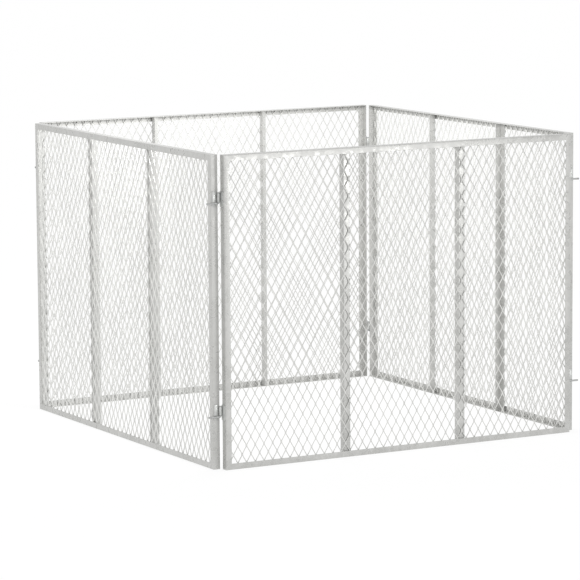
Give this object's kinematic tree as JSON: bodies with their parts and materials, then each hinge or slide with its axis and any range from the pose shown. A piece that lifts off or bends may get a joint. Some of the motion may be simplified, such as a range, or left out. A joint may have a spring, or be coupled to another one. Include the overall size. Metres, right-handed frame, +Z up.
{
  "type": "compost bin",
  "caption": "Square open-topped garden compost bin of galvanised steel: braced expanded-metal panels joined at the corners by hook hinges, so that it folds flat.",
  "frame": {"origin": "middle of the bin's square plan, on the ground under the bottom rails", "axes": "+Z up; +X along the front panel to the right as seen from the front; +Y from the front panel to the back panel"},
  "size_m": [1.0752, 1.048, 0.77],
  "materials": {
    "frame_steel": "dull hot-dip galvanised folded steel sheet, pale grey with soft mottling",
    "mesh_steel": "galvanised expanded metal, dull pale grey with beads of zinc at the crossings",
    "hinge_steel": "galvanised pressed plate, slightly darker at its edges",
    "bar_steel": "zinc-plated bent round bar, smoother and a little darker than the sheet"
  },
  "bodies": {
    "front_panel": {"front_bottom_rail": "frame_steel", "front_brace_left": "frame_steel", "front_brace_right": "frame_steel", "front_left_eye_lower": "hinge_steel", "front_left_eye_upper": "hinge_steel", "front_mesh": "mesh_steel", "front_right_eye_lower": "hinge_steel", "front_right_eye_upper": "hinge_steel", "front_stile_left": "frame_steel", "front_stile_right": "frame_steel", "front_top_rail": "frame_steel"},
    "right_panel": {"back_right_pintle_lower": "bar_steel", "back_right_pintle_upper": "bar_steel", "back_right_plate_lower": "hinge_steel", "back_right_plate_upper": "hinge_steel", "front_right_pintle_lower": "bar_steel", "front_right_pintle_upper": "bar_steel", "front_right_plate_lower": "hinge_steel", "front_right_plate_upper": "hinge_steel", "right_bottom_rail": "frame_steel", "right_brace_left": "frame_steel", "right_brace_right": "frame_steel", "right_mesh": "mesh_steel", "right_stile_left": "frame_steel", "right_stile_right": "frame_steel", "right_top_rail": "frame_steel"},
    "back_panel": {"back_bottom_rail": "frame_steel", "back_brace_left": "frame_steel", "back_brace_right": "frame_steel", "back_left_eye_lower": "hinge_steel", "back_left_eye_upper": "hinge_steel", "back_mesh": "mesh_steel", "back_right_eye_lower": "hinge_steel", "back_right_eye_upper": "hinge_steel", "back_stile_left": "frame_steel", "back_stile_right": "frame_steel", "back_top_rail": "frame_steel"},
    "left_panel": {"back_left_pintle_lower": "bar_steel", "back_left_pintle_upper": "bar_steel", "back_left_plate_lower": "hinge_steel", "back_left_plate_upper": "hinge_steel", "front_left_pintle_lower": "bar_steel", "front_left_pintle_upper": "bar_steel", "front_left_plate_lower": "hinge_steel", "front_left_plate_upper": "hinge_steel", "left_bottom_rail": "frame_steel", "left_brace_left": "frame_steel", "left_brace_right": "frame_steel", "left_mesh": "mesh_steel", "left_stile_left": "frame_steel", "left_stile_right": "frame_steel", "left_top_rail": "frame_steel"}
  },
  "joints": [
    {"name": "right_fold", "type": "hinge", "parent": "front_panel", "child": "right_panel", "pos_m": [0.5046, -0.5046, 0], "axis": [0, 0, 1], "range_deg": [-86, 86]},
    {"name": "left_fold", "type": "hinge", "parent": "front_panel", "child": "left_panel", "pos_m": [-0.5046, -0.5046, 0], "axis": [0, 0, 1], "range_deg": [-86, 86]},
    {"name": "back_fold", "type": "hinge", "parent": "right_panel", "child": "back_panel", "pos_m": [0.5046, 0.5046, 0], "axis": [0, 0, 1], "range_deg": [-86, 86]}
  ],
  "couplings": [
    {"joint": "left_fold", "follows": "right_fold", "ratio": 1},
    {"joint": "back_fold", "follows": "right_fold", "ratio": -1}
  ]
}
